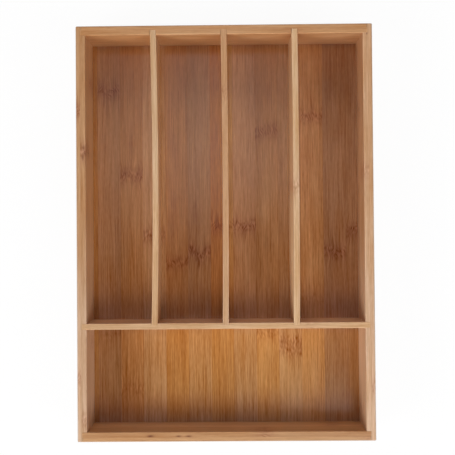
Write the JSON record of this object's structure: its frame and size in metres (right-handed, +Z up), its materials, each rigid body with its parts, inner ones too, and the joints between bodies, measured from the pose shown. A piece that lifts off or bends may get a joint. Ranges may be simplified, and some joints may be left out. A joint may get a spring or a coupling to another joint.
{
  "type": "cutlery tray",
  "caption": "Open wooden drawer tray with long side-by-side bays at the back and a wide bay across the front.",
  "frame": {"origin": "middle of the outline, on the surface that the tray stands on", "axes": "+X across the tray to the right with the wide bay nearest the viewer, +Y from the wide bay to the back wall, +Z up"},
  "size_m": [0.25, 0.35, 0.05],
  "materials": {
    "wall_board": "caramel laminated bamboo, satin clear lacquer",
    "divider_board": "paler laminated bamboo, satin clear lacquer",
    "floor_panel": "edge-glued carbonised bamboo strips, satin clear lacquer"
  },
  "bodies": {
    "root": {"left_wall": "wall_board", "right_wall": "wall_board", "front_wall": "wall_board", "back_wall": "wall_board", "cross_divider": "divider_board", "partition_1": "divider_board", "partition_2": "divider_board", "partition_3": "divider_board", "floor_strip_01": "floor_panel", "floor_strip_02": "floor_panel", "floor_strip_03": "floor_panel", "floor_strip_04": "floor_panel", "floor_strip_05": "floor_panel", "floor_strip_06": "floor_panel", "floor_strip_07": "floor_panel", "floor_strip_08": "floor_panel", "floor_strip_09": "floor_panel", "floor_strip_10": "floor_panel", "floor_strip_11": "floor_panel", "floor_strip_12": "floor_panel", "floor_strip_13": "floor_panel"}
  },
  "joints": []
}
